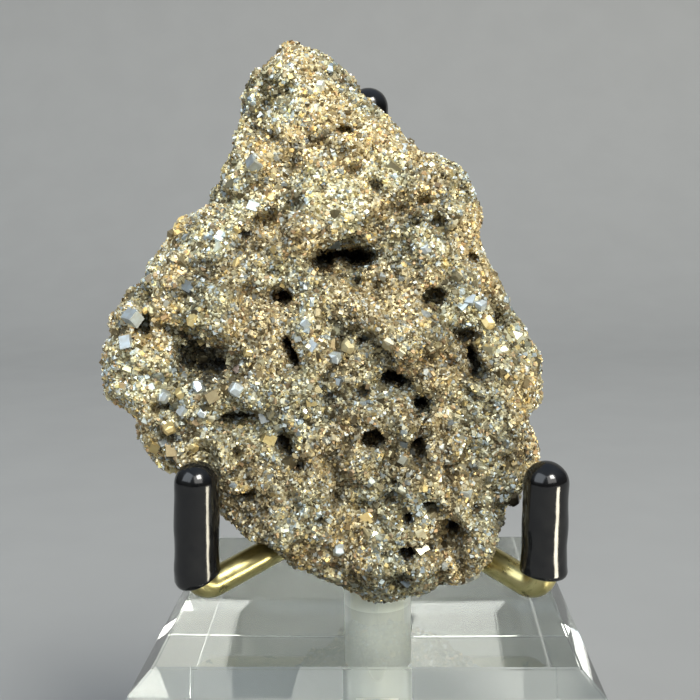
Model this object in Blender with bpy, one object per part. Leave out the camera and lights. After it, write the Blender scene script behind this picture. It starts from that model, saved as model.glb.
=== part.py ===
"""A pyrite cluster on a brass easel of three bent rods, which stands in a clear acrylic block.

Lengths are millimetres until a mesh is made, and the finished model is in metres with +Z up.
The block stands on z = 0 with its middle on the Z axis. The cluster shows its best side to -Y.
"""
import math
import random

import bmesh
import bpy
import numpy as np
from mathutils import Euler, Matrix, Vector, noise
from mathutils.bvhtree import BVHTree

MM = 0.001
GAP = 0.3                      # clearance between pieces that touch

# ---- acrylic block ---------------------------------------------------------------------
BLOCK_SIDE = 63.5
BLOCK_TOP_BEVEL = 3.1
BLOCK_EDGE_BREAK = 0.3
HUB = (1.2, 3.8)               # middle of the hole, a little right of and behind the block's
HOLE_RADIUS = 5.4
HOLE_DEPTH = 38.0
HOLE_SIDES = 28

# ---- rods and their caps ---------------------------------------------------------------
ROD_RADIUS = 2.1
ROD_SIDES = 14
BUNDLE_RADIUS = (2 * ROD_RADIUS + GAP) / math.sqrt(3)
HUB_HEIGHT = BLOCK_SIDE + 14.2  # where the straight runs of a rod would cross above the hole
HUB_BEND = 4.0
FOOT_BEND = 2.4
BEND_STEPS = 5
CAP_RADIUS = 3.25
CAP_BORE = ROD_RADIUS + GAP
CAP_CROWN = 1.6                # vinyl between the rod's end and the top of the cap
CAP_FLARE = 0.12
DOME_STEPS = 4

# name: (place in the bundle in degrees from +X, foot corner, top of the cap, cap length)
ARMS = {
    "front_left": (210.0, (-24.6, -16.2, 69.5), (-24.0, -16.0, 88.8), 17.2),
    "front_right": (330.0, (25.2, -16.2, 69.5), (25.6, -16.3, 88.6), 16.3),
    "back": (90.0, (1.0, 25.0, 69.5), (0.5, 15.0, 143.5), 17.0),
}

# ---- outline of the cluster, seen from the front: x, z around its middle ---------------
MIDDLE = (-5.4, 104.4)
OUTLINE = [
    (24.3, 104.7), (22.6, 108.0), (21.6, 111.1), (20.0, 113.7), (18.2, 115.5), (17.5, 118.5),
    (18.1, 120.8), (18.8, 123.2), (18.0, 126.3), (15.6, 129.4), (12.0, 131.8), (8.6, 132.3),
    (7.2, 133.0), (5.3, 135.7), (3.6, 138.3), (1.4, 141.3), (-0.8, 143.3), (-3.9, 146.1),
    (-7.3, 148.4), (-10.3, 149.6), (-12.6, 148.6), (-13.3, 147.1), (-15.5, 146.3),
    (-17.6, 144.4), (-18.9, 141.5), (-19.1, 138.9), (-18.1, 136.3), (-19.3, 133.0),
    (-19.6, 130.7), (-21.2, 129.0), (-23.3, 127.4), (-23.4, 124.8), (-25.5, 123.7),
    (-28.0, 123.0), (-29.3, 121.0), (-30.4, 118.6), (-33.9, 115.9), (-35.2, 113.7),
    (-36.7, 111.5), (-37.2, 109.2), (-39.1, 107.2), (-39.8, 104.3), (-39.6, 101.5),
    (-40.0, 98.4), (-39.4, 96.4), (-37.4, 95.0), (-35.4, 94.0), (-33.8, 93.8), (-34.5, 92.0),
    (-35.0, 90.6), (-34.0, 89.2), (-33.0, 88.0), (-31.6, 86.2), (-29.3, 84.9), (-26.9, 83.9),
    (-24.2, 81.4), (-22.2, 78.8), (-19.0, 77.5), (-16.0, 76.2), (-14.2, 74.6), (-11.7, 71.7),
    (-8.3, 69.9), (-5.4, 69.4), (-4.2, 67.8), (-1.5, 66.5), (1.4, 65.6), (4.4, 65.3),
    (6.0, 65.9), (9.3, 67.5), (12.5, 67.9), (14.9, 69.6), (16.3, 71.5), (17.8, 74.0),
    (18.9, 76.5), (20.0, 78.0), (21.0, 79.7), (22.8, 79.6), (23.8, 81.6), (25.4, 84.8),
    (26.1, 86.6), (25.4, 88.8), (23.9, 91.7), (24.2, 93.7), (26.0, 94.6), (27.0, 97.6),
    (26.7, 99.9), (25.8, 102.5),
]

# ---- depth of the cluster --------------------------------------------------------------
RIM_DEPTH_AT_FOOT = -9.0       # y of the widest section, at the height of the tip
RIM_LEAN = 0.15                # the widest section leans back by this much per mm of height
TIP_HEIGHT = 66.0
OUTLINE_STEPS = 720
FRONT_BULGE = 8.6
BACK_BULGE = 16.0
ROUNDNESS = 2.7                # exponent of the superellipse from the rim to the middle
ARM_SPREAD = 0.80              # y that a front arm gains per mm of x
ARM_SLOPE = 0.36               # height that an arm loses per mm of x
LEDGE_MARGIN = 3.0             # from the rod's axis to the stone in front of it
BACK_CLUMP_SCALE = 0.085       # cells per mm of the big clumps on the hidden back
BACK_CLUMP_HEIGHT = 3.4

# ---- relief of the front: x, z, half width, half height, turn in degrees, height -------
LUMPS = [
    (-24.9, 111.5, 10.0, 4.6, 12, 2.6), (5.2, 105.5, 7.4, 3.4, -6, 2.4),
    (11.1, 126.0, 7.0, 5.4, 20, 2.0), (-35.0, 103.0, 4.0, 7.5, 0, 2.2),
    (-9.0, 144.0, 5.2, 4.4, -25, 1.6), (-16.4, 140.8, 2.4, 4.4, 5, 1.6),
    (-9.0, 121.0, 8.0, 3.8, 15, 2.0), (9.2, 87.2, 6.0, 5.8, 30, 2.2),
    (3.1, 71.6, 8.5, 3.6, 0, 2.2), (-10.1, 82.6, 8.6, 6.0, -20, 2.0),
    (19.4, 97.6, 5.4, 6.4, 0, 2.0), (-4.6, 131.6, 7.6, 4.6, -10, 1.2),
    (-1.2, 88.5, 4.6, 4.0, 0, 1.6), (-24.5, 88.5, 6.0, 3.6, -35, 1.8),
    (4.4, 94.2, 4.0, 2.6, 10, 1.6), (-29.0, 94.8, 5.0, 2.4, 0, 1.2),
    (14.5, 113.0, 4.4, 3.4, -30, 1.4), (12.6, 80.4, 4.0, 3.2, 0, 1.2),
    (-4.5, 109.8, 4.6, 2.6, 10, 1.6), (-14.6, 97.2, 4.4, 3.8, 35, 1.4),
]
PITS = [
    (-3.3, 116.8, 5.0, 2.4, -3, 7.5), (-1.2, 113.6, 1.6, 1.3, 0, 3.0),
    (-11.8, 111.3, 1.5, 1.2, 0, 3.2), (-13.1, 115.2, 1.9, 0.9, -10, 2.2),
    (-10.6, 103.4, 3.0, 1.1, -63, 4.6), (-22.4, 102.6, 5.6, 4.0, -15, 3.4),
    (-26.2, 107.0, 3.0, 1.3, -28, 3.2), (-32.1, 107.2, 1.0, 2.8, 4, 3.0),
    (-14.3, 122.4, 1.7, 1.3, 0, 2.6), (-18.9, 93.8, 3.4, 1.0, 4, 3.2),
    (-29.8, 95.6, 1.8, 1.1, 0, 2.4), (-12.3, 90.7, 1.5, 1.5, 0, 2.6),
    (-9.7, 87.1, 1.2, 1.5, 0, 2.4), (4.5, 98.9, 3.2, 1.3, -8, 3.2),
    (7.9, 95.8, 2.1, 1.8, 0, 4.4), (0.9, 91.0, 1.6, 1.1, 0, 3.0),
    (7.3, 89.1, 1.2, 2.2, 10, 3.0), (16.0, 101.6, 1.1, 3.2, 12, 3.6),
    (15.0, 105.2, 2.1, 1.5, 0, 2.6), (9.9, 111.7, 2.1, 1.5, 0, 2.4),
    (16.1, 116.5, 1.8, 2.1, 0, 2.0), (12.4, 77.2, 1.8, 1.8, 0, 3.4),
    (6.0, 79.5, 1.5, 1.5, 0, 2.6), (5.5, 74.2, 2.1, 1.2, 0, 2.6),
    (-1.5, 129.6, 1.5, 1.1, 0, 2.4), (-2.3, 135.6, 2.5, 0.9, -8, 2.2),
    (-11.0, 140.9, 1.5, 1.5, 0, 2.4), (-14.3, 141.0, 1.0, 3.2, 0, 2.2),
    (15.6, 80.6, 1.7, 1.2, 0, 2.4), (-1.2, 97.8, 1.6, 1.1, 0, 2.4),
]

# ---- crystals that stand out of the front: x, z, size, form ----------------------------
NAMED_CRYSTALS = [
    (-34.2, 109.0, 3.0, "cube"), (-34.4, 105.6, 3.1, "cube"), (-18.8, 101.8, 2.7, "pyritohedron"),
    (-24.1, 104.9, 1.9, "cube"), (-16.8, 103.6, 2.0, "pyritohedron"), (-26.3, 98.1, 2.5, "cube"),
    (-21.6, 97.9, 2.4, "cube"), (-23.4, 99.3, 2.8, "pyritohedron"), (-18.4, 98.9, 2.4, "cube"),
    (-28.9, 98.4, 2.7, "pyritohedron"), (-15.8, 130.7, 2.1, "cube"), (-4.2, 102.9, 2.3, "cube"),
    (9.0, 118.2, 1.9, "pyritohedron"), (16.9, 110.2, 2.0, "cube"), (18.2, 107.6, 2.5, "pyritohedron"),
    (-28.4, 92.8, 2.1, "cube"), (-24.8, 90.4, 1.9, "pyritohedron"), (-28.2, 88.8, 2.3, "cube"),
]
SCATTERED_CRYSTALS = 84
SCATTER_SIZES = (1.5, 3.0)
SCATTER_SPACING = 4.4
SCATTER_SEED = 11

GLOBE_LEVEL = 7                # 41 thousand points before the surface is thinned
GRAIN_SCALE = 0.22             # cells per mm of the lumpy growth
GRAIN_HEIGHT = 1.5
RIM_SHARE = 0.25               # share of the growth that is kept at the rim
CLUSTER_FACES = 3600           # triangles of the thinned surface, before the crystals


# ---- shared tools ----------------------------------------------------------------------
def clear_scene():
    for thing in list(bpy.data.objects):
        bpy.data.objects.remove(thing, do_unlink=True)


def material(name, colour, roughness, metallic=0.0, transmission=0.0, ior=1.45):
    surface = bpy.data.materials.new(name)
    surface.use_nodes = True
    shader = surface.node_tree.nodes["Principled BSDF"]
    shader.inputs["Base Color"].default_value = (*colour, 1.0)
    shader.inputs["Roughness"].default_value = roughness
    shader.inputs["Metallic"].default_value = metallic
    shader.inputs["Transmission Weight"].default_value = transmission
    shader.inputs["IOR"].default_value = ior
    return surface


def add_object(name, bm, surface=None):
    """Finish a mesh that was made in millimetres and link it as an object in metres."""
    bmesh.ops.recalc_face_normals(bm, faces=bm.faces[:])
    bmesh.ops.scale(bm, vec=(MM, MM, MM), verts=bm.verts[:])
    mesh = bpy.data.meshes.new(name)
    bm.to_mesh(mesh)
    bm.free()
    if surface is not None:
        mesh.materials.append(surface)
    thing = bpy.data.objects.new(name, mesh)
    bpy.context.scene.collection.objects.link(thing)
    return thing


def make_guide(thing):
    thing.hide_render = True
    thing.display_type = 'WIRE'
    return thing


def add_boolean(thing, operand, operation):
    cut = thing.modifiers.new(operation.lower(), 'BOOLEAN')
    cut.operation = operation
    cut.object = operand
    cut.solver = 'EXACT'
    cut.use_self = True
    return cut


def smooth_step(low, high, value):
    share = min(max((value - low) / (high - low), 0.0), 1.0)
    return share * share * (3.0 - 2.0 * share)


# ---- the block -------------------------------------------------------------------------
def make_block(surface):
    half = BLOCK_SIDE / 2
    bm = bmesh.new()
    bmesh.ops.create_cube(bm, size=BLOCK_SIDE)
    bmesh.ops.translate(bm, vec=(0, 0, half), verts=bm.verts[:])
    top_edges = [e for e in bm.edges if all(v.co.z > half for v in e.verts)]
    bmesh.ops.bevel(bm, geom=top_edges, offset=BLOCK_TOP_BEVEL, segments=1, affect='EDGES')
    bmesh.ops.bevel(bm, geom=bm.edges[:], offset=BLOCK_EDGE_BREAK, segments=1, affect='EDGES')
    block = add_object("acrylic_base", bm, surface)

    bm = bmesh.new()
    reach = 10.0
    bmesh.ops.create_cone(bm, cap_ends=True, segments=HOLE_SIDES, radius1=HOLE_RADIUS,
                          radius2=HOLE_RADIUS, depth=HOLE_DEPTH + reach)
    lift = BLOCK_SIDE + (reach - HOLE_DEPTH) / 2
    bmesh.ops.translate(bm, vec=(*HUB, lift), verts=bm.verts[:])
    drill = make_guide(add_object("hole_cutter", bm))
    add_boolean(block, drill, 'DIFFERENCE')
    return block


# ---- rods and caps ---------------------------------------------------------------------
class Straight:
    """A straight run of a rod."""

    def __init__(self, start, end):
        self.start = start
        self.length = (end - start).length
        self.heading = (end - start).normalized()

    def at(self, distance):
        return self.start + self.heading * distance, self.heading


class Bend:
    """A round bend of a rod, which leaves the run before it without a kink."""

    def __init__(self, corner, before, after, radius):
        turn = before.angle(after)
        reach = radius * math.tan(turn / 2)
        self.radius = radius
        self.length = radius * turn
        self.heading = before
        self.start = corner - before * reach
        self.end = corner + after * reach
        self.inward = (after - before * before.dot(after)).normalized()

    def at(self, distance):
        angle = distance / self.radius
        centre = self.start + self.inward * self.radius
        point = centre + (self.heading * math.sin(angle) - self.inward * math.cos(angle)) * self.radius
        return point, self.heading * math.cos(angle) + self.inward * math.sin(angle)


def bent_runs(corners, bend_radii):
    points = [Vector(corner) for corner in corners]
    runs = []
    start = points[0]
    for i, radius in enumerate(bend_radii, start=1):
        before = (points[i] - points[i - 1]).normalized()
        after = (points[i + 1] - points[i]).normalized()
        bend = Bend(points[i], before, after, radius)
        runs += [Straight(start, bend.start), bend]
        start = bend.end
    runs.append(Straight(start, points[-1]))
    return runs


def along(runs, distance):
    """Point and heading at a distance along the runs; the last run has no end."""
    for run in runs[:-1]:
        if distance <= run.length:
            return run.at(distance)
        distance -= run.length
    return runs[-1].at(distance)


def full_length(runs):
    return sum(run.length for run in runs)


def ring(bm, point, heading, side, radius, count):
    across = (side - heading * side.dot(heading)).normalized()
    up = heading.cross(across)
    turns = [2 * math.pi * i / count for i in range(count)]
    return [bm.verts.new(point + (across * math.cos(t) + up * math.sin(t)) * radius) for t in turns]


def bridge(bm, first, second):
    count = len(first)
    for i in range(count):
        j = (i + 1) % count
        bm.faces.new((first[i], first[j], second[j], second[i]))


def fan(bm, loop, point):
    tip = bm.verts.new(point)
    count = len(loop)
    for i in range(count):
        bm.faces.new((loop[i], loop[(i + 1) % count], tip))


def arm_corners(name):
    place, foot, tip, _cap = ARMS[name]
    angle = math.radians(place)
    x = HUB[0] + BUNDLE_RADIUS * math.cos(angle)
    y = HUB[1] + BUNDLE_RADIUS * math.sin(angle)
    floor = BLOCK_SIDE - HOLE_DEPTH + GAP
    return [(x, y, floor), (x, y, HUB_HEIGHT), foot, tip]


def arm_runs(name):
    return bent_runs(arm_corners(name), [HUB_BEND, FOOT_BEND])


def arm_side(name):
    """The level direction square to an arm, which keeps the rings of its sweep untwisted."""
    _floor, hub, foot, _tip = arm_corners(name)
    return Vector((hub[1] - foot[1], foot[0] - hub[0], 0.0)).normalized()


def sweep(bm, name, profile):
    """Rings along an arm, from (distance from the cap's top, radius) pairs."""
    runs = arm_runs(name)
    total = full_length(runs)
    rings = []
    for depth, radius in profile:
        point, heading = along(runs, total - depth)
        rings.append(ring(bm, point, heading, arm_side(name), radius, ROD_SIDES))
    for first, second in zip(rings, rings[1:]):
        bridge(bm, first, second)
    return rings


def rod_mesh(name, radius):
    """A rod with flat ends and a ring at each step of its bends."""
    runs = arm_runs(name)
    stations = [0.0]
    passed = 0.0
    for run in runs:
        if isinstance(run, Bend):
            stations += [passed + run.length * i / BEND_STEPS for i in range(BEND_STEPS + 1)]
        passed += run.length
    stations.append(passed - CAP_CROWN - GAP)
    bm = bmesh.new()
    rings = sweep(bm, name, [(passed - station, radius) for station in stations])
    bm.faces.new(rings[0])
    bm.faces.new(rings[-1])
    return bm


def cap_outside(length, margin=0.0):
    """Profile of a cap's outside, from its rim to the last ring of its dome."""
    lip = CAP_RADIUS + CAP_FLARE + margin
    radius = CAP_RADIUS + margin
    profile = [(length, lip - 0.3), (length - 0.4, lip), (length - 1.4, radius)]
    for i in range(DOME_STEPS + 1):
        angle = 0.5 * math.pi * i / (DOME_STEPS + 1)
        profile.append((CAP_RADIUS - radius * math.sin(angle), radius * math.cos(angle)))
    return profile


def cap_mesh(name):
    length = ARMS[name][3]
    bm = bmesh.new()
    outer = sweep(bm, name, cap_outside(length))
    fan(bm, outer[-1], Vector(ARMS[name][2]))
    inner = sweep(bm, name, [(CAP_CROWN, CAP_BORE), (length - 1.4, CAP_BORE), (length, CAP_BORE)])
    bm.faces.new(inner[0])
    bridge(bm, inner[-1], outer[0])
    return bm


def cap_clearance_mesh(name):
    """A cap's outer form without its bore, a gap larger all round."""
    bm = bmesh.new()
    rings = sweep(bm, name, cap_outside(ARMS[name][3], GAP))
    bm.faces.new(rings[0])
    bm.faces.new(rings[-1])
    return bm


# ---- the cluster -----------------------------------------------------------------------
def outline_tables():
    """Radii of the outline around its middle at even angles: as it is, and smoothed."""
    polar = []
    for x, z in OUTLINE:
        dx = x - MIDDLE[0]
        dz = z - MIDDLE[1]
        polar.append((math.atan2(dz, dx), math.hypot(dx, dz)))
    polar.sort()
    angles = np.linspace(-math.pi, math.pi, OUTLINE_STEPS, endpoint=False)
    radii = np.interp(angles, [p[0] for p in polar], [p[1] for p in polar], period=2 * math.pi)
    reach = OUTLINE_STEPS // 24
    soft = np.mean([np.roll(radii, shift) for shift in range(-reach, reach + 1)], axis=0)
    return angles, radii, soft


def arm_front(x):
    """y of the stone's back where it stands in front of the hub or of a front arm."""
    spread = max(abs(x - HUB[0]) - BUNDLE_RADIUS, 0.0)
    return HUB[1] - BUNDLE_RADIUS / 2 - ARM_SPREAD * spread - LEDGE_MARGIN


def arm_top(x):
    """Height above which the stone may reach back over the hub and the arms."""
    spread = max(abs(x - HUB[0]) - BUNDLE_RADIUS, 0.0)
    return HUB_HEIGHT + ROD_RADIUS - ARM_SLOPE * spread


def rim_depth(x, z):
    lean = RIM_DEPTH_AT_FOOT + RIM_LEAN * (z - TIP_HEIGHT)
    low = min(lean, arm_front(x) - 2.2)
    above = max(smooth_step(arm_top(x) + 1, arm_top(x) + 7, z), smooth_step(19, 23, abs(x)))
    return low + (lean - low) * above


def back_depth(x, z, share):
    rim = rim_depth(x, z)
    full = rim + BACK_BULGE * share
    above = max(smooth_step(arm_top(x), arm_top(x) + 5, z), smooth_step(19, 23, abs(x)))
    low = min(full, arm_front(x))
    return low + (full - low) * above


def relief(x, z, features, flank, crest):
    """Summed height of oval features; flank and crest are shares of their half sizes."""
    total = 0.0
    for middle_x, middle_z, half_x, half_z, turn, height in features:
        angle = math.radians(turn)
        dx = x - middle_x
        dz = z - middle_z
        u = (dx * math.cos(angle) + dz * math.sin(angle)) / half_x
        v = (dz * math.cos(angle) - dx * math.sin(angle)) / half_z
        total += height * smooth_step(flank, crest, math.hypot(u, v))
    return total


def growth(point, on_back):
    """Rounded lumps with creases between them, from the distances to scattered cells."""
    near, next_near = noise.voronoi(point * GRAIN_SCALE)[0][:2]
    crease = 0.25 * smooth_step(0.16, 0.0, next_near - near)
    rough = noise.fractal(point * 0.35, 1.0, 2.0, 3) * 0.35
    height = GRAIN_HEIGHT * (0.62 - near + rough - crease)
    clump = 0.62 - noise.voronoi(point * BACK_CLUMP_SCALE)[0][0]
    return height + on_back * BACK_CLUMP_HEIGHT * clump


def cluster_point(direction, angles, radii, soft):
    """Place one point of a globe on the cluster's surface."""
    inplane = math.hypot(direction.x, direction.z)
    angle = math.atan2(direction.z, direction.x)
    norm = (inplane ** ROUNDNESS + abs(direction.y) ** ROUNDNESS) ** (-1.0 / ROUNDNESS)
    spread = inplane * norm
    share = abs(direction.y) * norm
    inward = smooth_step(0.0, 0.8, share)
    rim_radius = np.interp(angle, angles, radii, period=2 * math.pi)
    inner_radius = np.interp(angle, angles, soft, period=2 * math.pi)
    radius = float(rim_radius + (inner_radius - rim_radius) * inward)
    x = MIDDLE[0] + radius * spread * math.cos(angle)
    z = MIDDLE[1] + radius * spread * math.sin(angle)
    if direction.y < 0:
        inner = smooth_step(0.0, 0.45, share)
        raised = (relief(x, z, LUMPS, 1.55, 0.3) - relief(x, z, PITS, 1.25, 0.5)) * inner
        return Vector((x, rim_depth(x, z) - FRONT_BULGE * share - raised, z)), share
    return Vector((x, back_depth(x, z, share), z)), share


def make_cluster_surface():
    tables = outline_tables()
    bm = bmesh.new()
    bmesh.ops.create_icosphere(bm, subdivisions=GLOBE_LEVEL, radius=1.0)
    shares = []
    backs = []
    for vert in bm.verts:
        backs.append(smooth_step(0.1, 0.5, vert.co.y))
        vert.co, share = cluster_point(vert.co.normalized(), *tables)
        shares.append(share)
    bm.normal_update()
    moves = []
    for vert, share, back in zip(bm.verts, shares, backs):
        keep = RIM_SHARE + (1 - RIM_SHARE) * smooth_step(0.1, 0.6, share)
        moves.append(vert.normal * growth(vert.co, back) * keep)
    for vert, move in zip(bm.verts, moves):
        vert.co += move
    return bm


def cube_form(bm, place, size):
    made = bmesh.ops.create_cube(bm, size=size)
    bmesh.ops.transform(bm, matrix=place, verts=made["verts"])


def pyritohedron_form(bm, place, size):
    """Twelve five-sided faces: a cube's corners and a short edge raised over each face."""
    half = size / 2 * 0.80
    rise = size / 2 * 1.08
    width = half * 0.55
    corners = [Vector((x, y, z)) * half for x in (-1, 1) for y in (-1, 1) for z in (-1, 1)]
    ridges = []
    for a in (-1, 1):
        for b in (-1, 1):
            ridges.append(Vector((0, a * width, b * rise)))
            ridges.append(Vector((a * width, b * rise, 0)))
            ridges.append(Vector((b * rise, 0, a * width)))
    verts = [bm.verts.new(place @ v) for v in corners + ridges]
    hull = bmesh.ops.convex_hull(bm, input=verts)
    bmesh.ops.dissolve_limit(bm, angle_limit=0.02, verts=verts,
                             edges=[e for e in hull["geom"] if isinstance(e, bmesh.types.BMEdge)])


FORMS = {"cube": cube_form, "pyritohedron": pyritohedron_form}


def make_crystals(surface_mesh):
    """All the larger crystals as one mesh of closed forms sunk into the surface."""
    tree = BVHTree.FromBMesh(surface_mesh)
    chance = random.Random(SCATTER_SEED)
    bm = bmesh.new()
    taken = []

    def plant(point, normal, size, form, sink):
        turn = Euler([chance.uniform(0, math.tau) for _ in range(3)]).to_matrix().to_4x4()
        place = Matrix.Translation(point - normal * size * sink) @ turn
        FORMS[form](bm, place, size)
        taken.append(point)

    for x, z, size, form in NAMED_CRYSTALS:
        point, normal, _face, _distance = tree.ray_cast(Vector((x, -60.0, z)), Vector((0, 1, 0)))
        plant(point, normal, size, form, 0.1)

    surface_mesh.verts.ensure_lookup_table()
    count = len(surface_mesh.verts)
    while len(taken) < len(NAMED_CRYSTALS) + SCATTERED_CRYSTALS:
        vert = surface_mesh.verts[chance.randrange(count)]
        size = SCATTER_SIZES[0] + (SCATTER_SIZES[1] - SCATTER_SIZES[0]) * chance.random() ** 2
        form = chance.choice(("cube", "cube", "pyritohedron"))
        if all((vert.co - other).length > SCATTER_SPACING for other in taken):
            plant(vert.co, vert.normal, size, form, 0.22)
    return bm


def make_cluster(surface):
    bm = make_cluster_surface()
    crystals = make_crystals(bm)
    start_faces = len(bm.faces)
    cluster = add_object("pyrite_cluster", bm, surface)
    thin = cluster.modifiers.new("thin", 'DECIMATE')
    thin.ratio = CLUSTER_FACES / start_faces
    crystal_guide = make_guide(add_object("crystal_guide", crystals))
    add_boolean(cluster, crystal_guide, 'UNION')
    for name in ARMS:
        for kind, bm in (("rod", rod_mesh(name, ROD_RADIUS + GAP)), ("cap", cap_clearance_mesh(name))):
            cutter = make_guide(add_object(f"{name}_{kind}_clearance", bm))
            add_boolean(cluster, cutter, 'DIFFERENCE')
    return cluster


# ---- the whole part --------------------------------------------------------------------
def smooth(thing, angle=40.0):
    thing.data.shade_smooth()
    thing.data.set_sharp_from_angle(angle=math.radians(angle))


def main():
    clear_scene()
    acrylic = material("acrylic", (0.93, 0.96, 0.95), 0.03, transmission=1.0, ior=1.49)
    brass = material("brass", (0.64, 0.50, 0.20), 0.28, metallic=1.0)
    vinyl = material("black_vinyl", (0.012, 0.012, 0.014), 0.18)
    pyrite = material("pyrite", (0.44, 0.37, 0.25), 0.35, metallic=0.85)
    make_block(acrylic)
    for name in ARMS:
        smooth(add_object(f"{name}_arm", rod_mesh(name, ROD_RADIUS), brass))
        smooth(add_object(f"{name}_cap", cap_mesh(name), vinyl))
    make_cluster(pyrite)


main()
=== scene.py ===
"""Looks of a pyrite cluster on its brass easel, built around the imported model.

Lengths are millimetres until a mesh is made, and the scene is in metres with +Z up.
"""
import math

import bmesh
import bpy
import numpy as np
from mathutils import Matrix, Vector, noise
from mathutils.bvhtree import BVHTree
from mathutils.kdtree import KDTree


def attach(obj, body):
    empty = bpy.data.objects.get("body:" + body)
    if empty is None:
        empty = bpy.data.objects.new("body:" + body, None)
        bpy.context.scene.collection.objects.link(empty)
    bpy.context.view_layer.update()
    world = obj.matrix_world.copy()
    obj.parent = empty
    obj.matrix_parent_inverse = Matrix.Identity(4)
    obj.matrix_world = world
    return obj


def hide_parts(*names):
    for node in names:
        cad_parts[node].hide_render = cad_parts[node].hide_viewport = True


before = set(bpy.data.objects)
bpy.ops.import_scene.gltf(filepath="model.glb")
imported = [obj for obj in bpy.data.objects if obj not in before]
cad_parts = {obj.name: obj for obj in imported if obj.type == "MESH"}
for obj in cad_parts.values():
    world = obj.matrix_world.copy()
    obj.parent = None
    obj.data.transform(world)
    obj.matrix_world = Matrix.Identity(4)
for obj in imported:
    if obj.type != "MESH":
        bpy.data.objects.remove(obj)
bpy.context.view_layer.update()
MM = 0.001

# ---- camera ----------------------------------------------------------------------------
CAMERA_PLACE = (4.1, -167.2, 125.3)
CAMERA_LENS = 56.16
CAMERA_SENSOR = 36.0           # width
CAMERA_NEAREST = 5.0
CAMERA_YAW = 2.26              # degrees to the left of +Y
CAMERA_PITCH = 7.79            # degrees down
CAMERA_ROLL = -0.88

# ---- block, rods and caps: the same sizes as the solids ---------------------------------
BLOCK_SIDE = 63.5
BLOCK_TOP_BEVEL = 3.1
BLOCK_EDGE_BREAK = 0.3
HUB = (1.2, 3.8)               # middle of the hole on the block's top
HOLE_RADIUS = 5.4
HOLE_DEPTH = 38.0
HOLE_POINT = 2.2               # depth of the drill's cone below the hole
HOLE_CHALKY = 9.5              # height of the band at the hole's top that scatters the most light
HOLE_SIDES = 72
DRILL_ABOVE = 5.0              # how far the form that cuts the hole stands above the block
HOLE_MARGIN = 0.01
ROD_RADIUS = 2.1
ROD_SIDES = 36
ROD_STEP = 0.6                 # between the rings of a rod
ROD_WOBBLE = 0.03
GAP = 0.3                      # between pieces that touch in the real thing
BUNDLE_RADIUS = (2 * ROD_RADIUS + GAP) / math.sqrt(3)
HUB_HEIGHT = BLOCK_SIDE + 14.2  # where the rods turn outwards
HUB_BEND = 4.0
FOOT_BEND = 2.4
PATH_STEPS = 16                # points in each bend
HEADING_STEP = 0.2             # how far to each side the heading of a rod is read
CAP_RADIUS = 3.25
CAP_CROWN = 1.6
CAP_BORE = ROD_RADIUS + 0.15
CAP_BORE_SHOWN = 3.0           # how deep the bore goes in from the open end
CAP_LIP = 0.45                 # radius of the rolled rim at a cap's open end
CAP_LIP_INSET = 0.3            # from the wall to the middle of that rim
CAP_WALL_ENDS = (0.8, 1.4)     # from the dome to the wall's first ring, from its last to the open end
CAP_RIPPLE = 0.04
CAP_RIPPLE_TURN = 0.9          # radians for each mm
CAP_WOBBLE = 0.07
CAP_SIDES = 56
CAP_DOME_STEPS = 12
CAP_DOME_FLAT = 0.35           # share of a step that the dome's first ring is away from its middle
CAP_WALL_RINGS = 18
CAP_LIP_STEPS = 8
WOBBLE_CELLS = 0.45            # for each mm
SHARP_ANGLE = 50.0             # edges of rods and caps beyond these degrees are shaded sharp
# each arm: degrees round the hub, foot of its prong, top of its cap, length of its cap
ARMS = {
    "front_left": (210.0, (-24.6, -16.2, 69.5), (-24.0, -16.0, 88.8), 17.2),
    "front_right": (330.0, (25.2, -16.2, 69.5), (25.6, -16.3, 88.6), 16.3),
    "back": (90.0, (1.0, 25.0, 69.5), (0.5, 15.0, 143.5), 17.0),
}

# ---- lights: place, size, watts, spread in degrees, colour ---------------------------------
LIGHTS = {
    "key": ((900.0, -1440.0, 1860.0), (800.0, 800.0), 64.0, 180.0, (1.0, 0.99, 0.92)),
    "key_soft": ((800.0, -1850.0, 1500.0), (1900.0, 1900.0), 36.0, 180.0, (1.0, 0.98, 0.94)),
    "sky_fill": ((-1140.0, -990.0, 1260.0), (1500.0, 1500.0), 20.0, 180.0, (0.86, 0.93, 1.0)),
    "low_card": ((125.0, -84.0, 34.0), (40.0, 64.0), 0.024, 60.0, (1.0, 0.93, 0.74)),
}
LIGHTS_AIM = (0.0, 0.0, 95.0)
# the room's colour by height, from straight down to straight up
ROOM_STOPS = [
    (0.0, (0.08, 0.08, 0.07)), (0.5, (0.10, 0.10, 0.09)), (0.66, (0.30, 0.33, 0.35)),
    (1.0, (0.80, 0.95, 1.15)),
]
ROOM_STRENGTH = 0.5

# ---- floor and backdrop -------------------------------------------------------------------
STAGE_HALF_WIDTH = 1500.0
STAGE_FRONT = -900.0
STAGE_CURVE_FROM = 700.0
STAGE_CURVE_RADIUS = 500.0
STAGE_CURVE_STEPS = 12
STAGE_TOP = 1500.0
STAGE_DROP = 0.25              # how far the floor lies under the block
STAGE_COLOUR = (0.27, 0.27, 0.265)

# ---- acrylic: roughness and share of light that passes, for each part of the block ---------
ACRYLIC = {
    "clear_acrylic": (0.0, 0.98),
    "drilled_acrylic": (0.3, 0.4),
    "chalky_acrylic": (0.42, 0.15),
}

# ---- the cluster's fine growth ----------------------------------------------------------
FIRST_VOXEL = 0.6              # of the skin before the lumps swell
LAST_VOXEL = 0.47              # and of the finished one
SOFTEN_ROUNDS = 5
SOFTEN_SHARE = 0.5
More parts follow.
